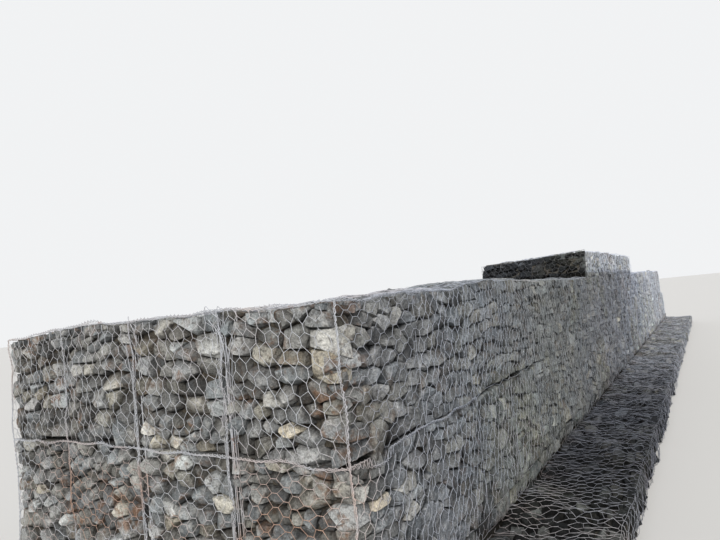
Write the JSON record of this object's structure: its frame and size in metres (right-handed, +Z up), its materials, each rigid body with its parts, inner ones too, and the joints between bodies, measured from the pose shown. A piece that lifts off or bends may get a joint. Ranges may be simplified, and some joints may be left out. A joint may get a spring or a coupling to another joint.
{
  "type": "gabion wall",
  "caption": "Gabion retaining wall: wire baskets filled with broken stone in bonded courses turning a corner, with a raised crest block and a stone mattress along the foot.",
  "frame": {"origin": "middle of the footprint, on the ground the wall rests on", "axes": "+X along the long face, away from the outside corner; +Y back from the long face, the way the return runs; +Z up"},
  "size_m": [26.0678, 5.0944, 3.034],
  "materials": {
    "stone_fill": "rough broken grey rock, dusty, some stones tan or rust stained",
    "galvanised_wire": "weathered galvanised wire, dull, rust stained in places"
  },
  "bodies": {
    "root": {"base_corner_cage": "galvanised_wire", "base_corner_fill": "stone_fill", "base_long_cage": "galvanised_wire", "base_long_fill": "stone_fill", "base_rear_cage": "galvanised_wire", "base_rear_fill": "stone_fill", "base_return_cage": "galvanised_wire", "base_return_fill": "stone_fill", "crest_cage": "galvanised_wire", "crest_fill": "stone_fill", "middle_corner_cage": "galvanised_wire", "middle_corner_fill": "stone_fill", "middle_long_cage": "galvanised_wire", "middle_long_fill": "stone_fill", "middle_rear_cage": "galvanised_wire", "middle_rear_fill": "stone_fill", "middle_return_cage": "galvanised_wire", "middle_return_fill": "stone_fill", "toe_mattress_cage": "galvanised_wire", "toe_mattress_fill": "stone_fill", "top_corner_cage": "galvanised_wire", "top_corner_fill": "stone_fill", "top_long_cage": "galvanised_wire", "top_long_fill": "stone_fill", "top_rear_cage": "galvanised_wire", "top_rear_fill": "stone_fill", "top_return_cage": "galvanised_wire", "top_return_fill": "stone_fill"}
  },
  "joints": []
}
